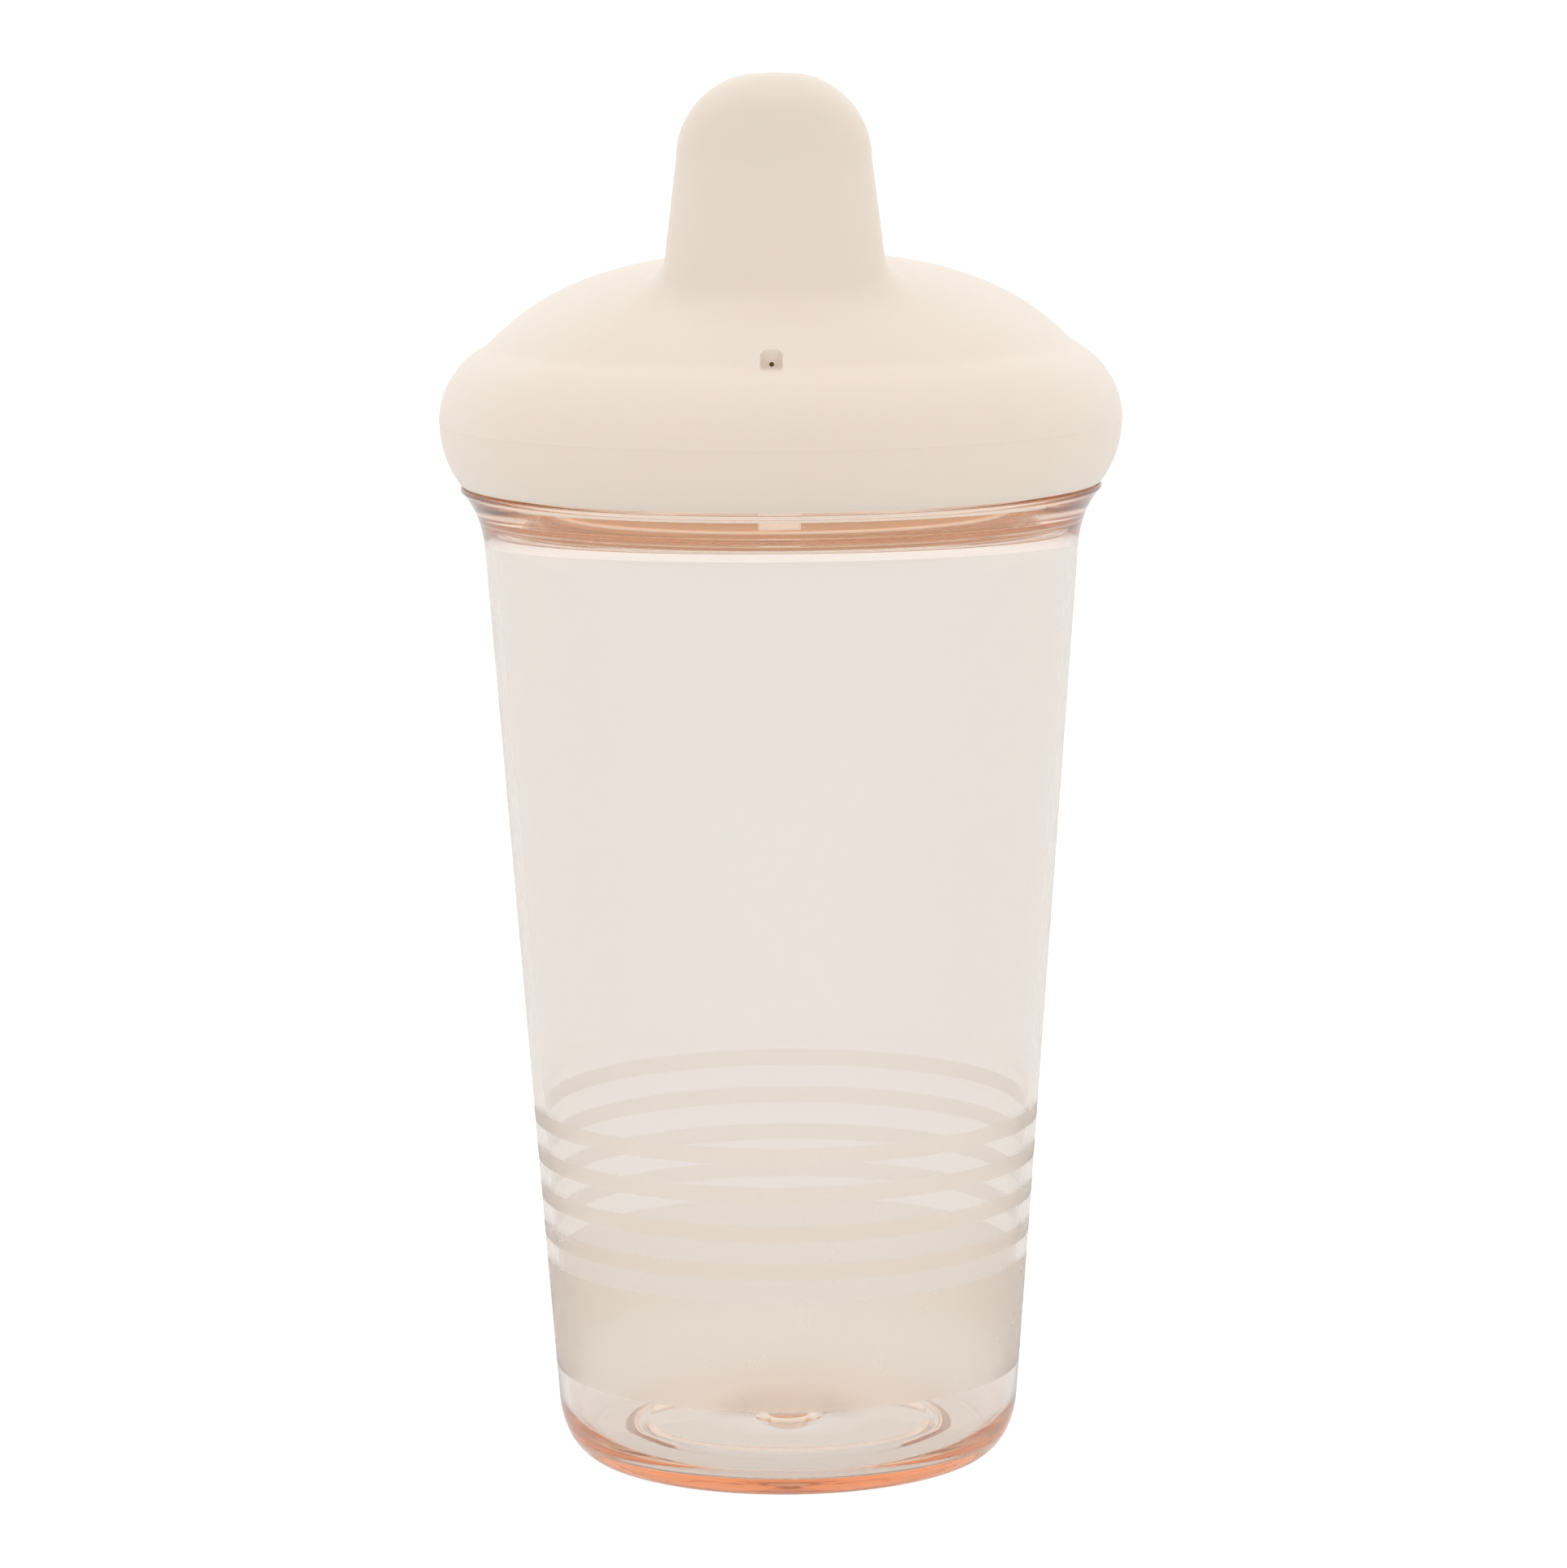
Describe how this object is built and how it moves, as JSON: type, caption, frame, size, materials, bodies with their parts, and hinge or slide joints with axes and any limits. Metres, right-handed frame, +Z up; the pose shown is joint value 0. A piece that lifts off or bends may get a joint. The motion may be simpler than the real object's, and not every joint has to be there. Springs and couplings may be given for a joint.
{
  "type": "sippy cup",
  "caption": "Toddler's tapered clear plastic cup with a screw-on domed lid, hard duckbill spout, slit valve and seal ring.",
  "frame": {"origin": "centre of the cup's base, on the plane that it stands on", "axes": "+Z up along the cup's axis; the spout and the vent are at the front, towards -Y; +X is on the right seen from the front"},
  "size_m": [0.0796, 0.0796, 0.1638],
  "materials": {
    "cup_plastic": "clear peach-tinted copolyester, polished, with frosted bands low on the wall",
    "lid_plastic": "opaque cream polypropylene, satin",
    "seal_silicone": "translucent off-white silicone, matte",
    "valve_silicone": "translucent white silicone, satin"
  },
  "bodies": {
    "cup": {"cup_body": "cup_plastic"},
    "seal": {"seal_ring": "seal_silicone"},
    "lid": {"lid": "lid_plastic"},
    "valve": {"valve": "valve_silicone"}
  },
  "joints": [
    {"name": "lid_lift", "type": "slide", "parent": "cup", "child": "seal", "axis": [0, 0, 1], "range_m": [0, 0.0169]},
    {"name": "lid_turn", "type": "hinge", "parent": "seal", "child": "lid", "pos_m": [0, 0, 0.123], "axis": [0, 0, 1], "range_deg": [0, 720]},
    {"name": "valve_pull", "type": "slide", "parent": "lid", "child": "valve", "axis": [0, 0, -1], "range_m": [0, 0.008]}
  ],
  "couplings": [
    {"joint": "lid_lift", "follows": "lid_turn", "m_per_rad": 0.0013369}
  ]
}
